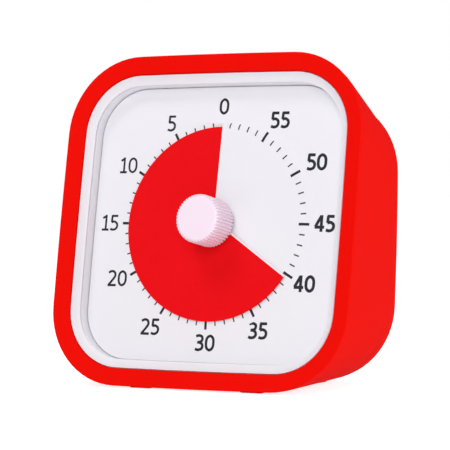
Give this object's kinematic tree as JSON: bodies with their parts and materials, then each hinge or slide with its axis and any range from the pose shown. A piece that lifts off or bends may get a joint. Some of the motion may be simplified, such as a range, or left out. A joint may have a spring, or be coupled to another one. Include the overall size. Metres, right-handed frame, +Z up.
{
  "type": "visual countdown timer",
  "caption": "Free-standing visual countdown timer: a square dial with a red disc behind a slit, a centre knob and a soft tapered cover that leans it back.",
  "frame": {"origin": "middle of the footprint, on the surface it stands on", "axes": "+Z up, the dial faces -Y and leans back, +X to the viewer's right"},
  "size_m": [0.0922, 0.0538, 0.0924],
  "materials": {
    "red_silicone": "matt moulded silicone",
    "white_case": "satin moulded ABS",
    "dial_white": "matt printed sheet",
    "disc_red": "matt plastic film",
    "knob_pink": "satin moulded plastic",
    "shaft_brass": "turned brass",
    "steel": "zinc plated steel",
    "gear_nylon": "natural acetal",
    "rotor_magnet": "sintered magnet with moulded pinion",
    "movement_grey": "moulded black plastic",
    "bobbin_white": "moulded nylon",
    "copper": "enamelled copper wire",
    "board_green": "solder mask on fibreglass",
    "buzzer_brass": "thin brass disc with a ceramic layer",
    "cell_wrap": "plain plastic wrap on steel can",
    "button_grey": "satin moulded plastic"
  },
  "bodies": {
    "case": {"silicone_cover": "red_silicone", "front_bezel": "white_case", "rear_housing": "white_case", "dial_plate": "dial_white", "dial_disc": "dial_white", "movement_bracket": "white_case", "bush_washer": "shaft_brass", "bush_nut": "shaft_brass", "housing_screws": "steel", "movement_front_case": "movement_grey", "movement_back_case": "movement_grey", "movement_screws": "steel", "stator": "steel", "coil_bobbin": "bobbin_white", "coil_winding": "copper", "circuit_board": "board_green", "quartz_crystal": "steel", "buzzer_disc": "buzzer_brass", "alarm_board": "board_green", "alarm_board_screws": "steel", "slide_switch": "steel", "aa_battery": "cell_wrap", "positive_contact": "steel", "negative_contact": "steel"},
    "knob_and_shaft": {"knob": "knob_pink", "centre_shaft": "shaft_brass", "clutch_spring": "steel", "shaft_clip": "steel"},
    "time_disc": {"red_disc": "disc_red"},
    "output_gear": {"output_wheel": "gear_nylon"},
    "third_gear": {"third_wheel": "gear_nylon"},
    "second_gear": {"second_wheel": "gear_nylon"},
    "first_gear": {"first_wheel": "gear_nylon"},
    "rotor": {"rotor": "rotor_magnet"},
    "volume_button": {"volume_button": "button_grey"},
    "battery_door": {"battery_door": "white_case"}
  },
  "joints": [
    {"name": "knob_turn", "type": "hinge", "parent": "case", "child": "knob_and_shaft", "pos_m": [0, -0.01196, 0.04527], "axis": [0, -0.9843, 0.1762], "range_deg": [-240, 120]},
    {"name": "time_disc_climb", "type": "slide", "parent": "knob_and_shaft", "child": "time_disc", "axis": [0, -0.9843, 0.1762], "range_m": [-0.00067, 0.00033]},
    {"name": "rotor_spin", "type": "hinge", "parent": "case", "child": "rotor", "pos_m": [-0.01759, -0.01027, 0.05469], "axis": [0, -0.9843, 0.1762], "continuous": true},
    {"name": "first_wheel_spin", "type": "hinge", "parent": "case", "child": "first_gear", "pos_m": [-0.01144, -0.00918, 0.06074], "axis": [0, -0.9843, 0.1762], "continuous": true},
    {"name": "second_wheel_spin", "type": "hinge", "parent": "case", "child": "second_gear", "pos_m": [-0.00129, -0.00871, 0.06342], "axis": [0, -0.9843, 0.1762], "continuous": true},
    {"name": "third_wheel_spin", "type": "hinge", "parent": "case", "child": "third_gear", "pos_m": [0.00675, -0.0099, 0.05677], "axis": [0, -0.9843, 0.1762], "continuous": true},
    {"name": "output_wheel_spin", "type": "hinge", "parent": "case", "child": "output_gear", "pos_m": [0, -0.01196, 0.04527], "axis": [0, -0.9843, 0.1762], "continuous": true},
    {"name": "volume_slide", "type": "slide", "parent": "case", "child": "volume_button", "axis": [1, 0, 0], "range_m": [-0.0022, 0.0022]},
    {"name": "battery_door_swing", "type": "hinge", "parent": "case", "child": "battery_door", "pos_m": [0, 0.01973, 0.00912], "axis": [-1, 0, 0], "range_deg": [0, 75]}
  ],
  "couplings": [
    {"joint": "knob_turn", "follows": "time_disc_climb", "rad_per_m": 6283.2},
    {"joint": "first_wheel_spin", "follows": "rotor_spin", "ratio": -0.16},
    {"joint": "second_wheel_spin", "follows": "rotor_spin", "ratio": 0.026667},
    {"joint": "third_wheel_spin", "follows": "rotor_spin", "ratio": -0.0044444},
    {"joint": "output_wheel_spin", "follows": "rotor_spin", "ratio": 0.00055556}
  ]
}
